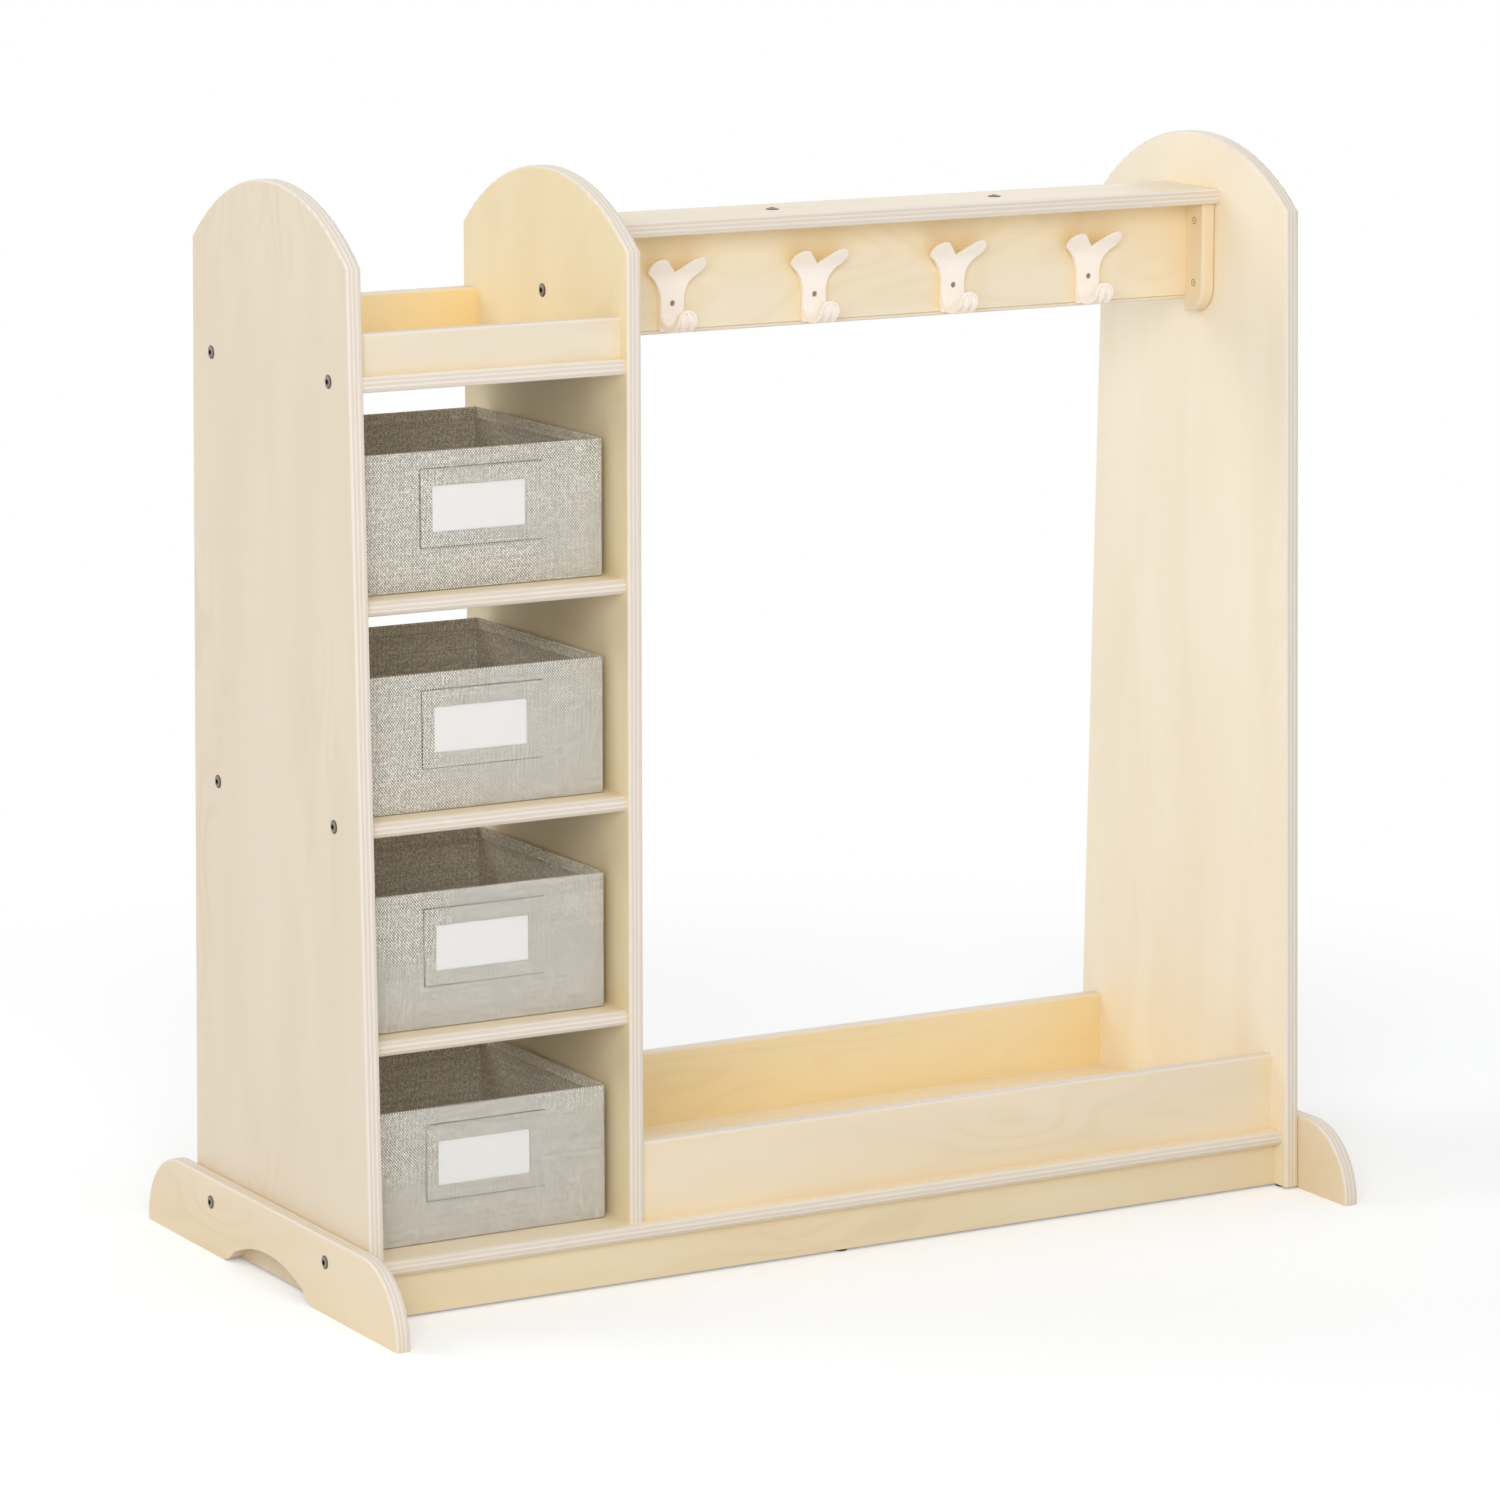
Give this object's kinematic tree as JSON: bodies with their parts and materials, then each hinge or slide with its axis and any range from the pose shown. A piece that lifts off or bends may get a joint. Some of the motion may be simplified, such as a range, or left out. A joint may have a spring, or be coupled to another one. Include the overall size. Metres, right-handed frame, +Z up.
{
  "type": "dress-up storage unit with mirror",
  "caption": "Children's birch plywood dress-up storage unit with arched end panels, fabric bins, hook rail, shoe trough and a side mirror.",
  "frame": {"origin": "on the floor, midway between the two end panels and on their upright centre plane", "axes": "+X to the unit's right as seen from the front, +Y to the back, +Z up"},
  "size_m": [1.0734, 0.55, 1.05],
  "materials": {
    "birch_plywood": "clear lacquered birch plywood, satin, layered edges",
    "woven_fabric": "grey and beige woven fabric over board",
    "board_liner": "fabric covered stiffening board",
    "window_film": "milky clear film",
    "card": "blank white card",
    "moulded_cream": "moulded, cream, satin",
    "bolt_bronze": "dark bronze plated steel",
    "zinc_steel": "zinc plated steel",
    "screw_pale": "pale painted screw",
    "beech_dowel": "plain beech",
    "glide_plastic": "dark moulded plastic",
    "mirror_face": "mirrored acrylic",
    "adhesive_tape": "white foam tape"
  },
  "bodies": {
    "carcass": {"left_side_panel": "birch_plywood", "divider_panel": "birch_plywood", "right_side_panel": "birch_plywood", "left_foot": "birch_plywood", "right_foot": "birch_plywood", "base_shelf": "birch_plywood", "front_apron": "birch_plywood", "rear_apron": "birch_plywood", "tray_shelf": "birch_plywood", "tray_front_rail": "birch_plywood", "tray_rear_rail": "birch_plywood", "bin_shelf_upper": "birch_plywood", "bin_shelf_middle": "birch_plywood", "bin_shelf_lower": "birch_plywood", "trough_front_rail": "birch_plywood", "trough_rear_rail": "birch_plywood", "top_board": "birch_plywood", "hook_rail": "birch_plywood", "left_cleat": "birch_plywood", "right_cleat": "birch_plywood", "hook_1": "moulded_cream", "hook_2": "moulded_cream", "hook_3": "moulded_cream", "hook_4": "moulded_cream", "shelf_bolts": "bolt_bronze", "rail_end_bolts": "bolt_bronze", "foot_bolts": "bolt_bronze", "top_board_bolts": "bolt_bronze", "divider_base_bolts": "bolt_bronze", "barrel_nuts": "zinc_steel", "dowels": "beech_dowel", "hook_screws": "zinc_steel", "cleat_screws": "screw_pale", "floor_glides": "glide_plastic", "mirror_sheet": "mirror_face", "mirror_tape": "adhesive_tape"},
    "bin_1": {"bin_1_box": "woven_fabric", "bin_1_base_board": "board_liner", "bin_1_label_pocket": "woven_fabric", "bin_1_label_window": "window_film", "bin_1_label_card": "card"},
    "bin_2": {"bin_2_box": "woven_fabric", "bin_2_base_board": "board_liner", "bin_2_label_pocket": "woven_fabric", "bin_2_label_window": "window_film", "bin_2_label_card": "card"},
    "bin_3": {"bin_3_box": "woven_fabric", "bin_3_base_board": "board_liner", "bin_3_label_pocket": "woven_fabric", "bin_3_label_window": "window_film", "bin_3_label_card": "card"},
    "bin_4": {"bin_4_box": "woven_fabric", "bin_4_base_board": "board_liner", "bin_4_label_pocket": "woven_fabric", "bin_4_label_window": "window_film", "bin_4_label_card": "card"}
  },
  "joints": [
    {"name": "bin_1_slide", "type": "slide", "parent": "carcass", "child": "bin_1", "axis": [0, -1, 0], "range_m": [-0.039, 0.285]},
    {"name": "bin_2_slide", "type": "slide", "parent": "carcass", "child": "bin_2", "axis": [0, -1, 0], "range_m": [-0.039, 0.285]},
    {"name": "bin_3_slide", "type": "slide", "parent": "carcass", "child": "bin_3", "axis": [0, -1, 0], "range_m": [-0.039, 0.285]},
    {"name": "bin_4_slide", "type": "slide", "parent": "carcass", "child": "bin_4", "axis": [0, -1, 0], "range_m": [-0.039, 0.285]}
  ]
}
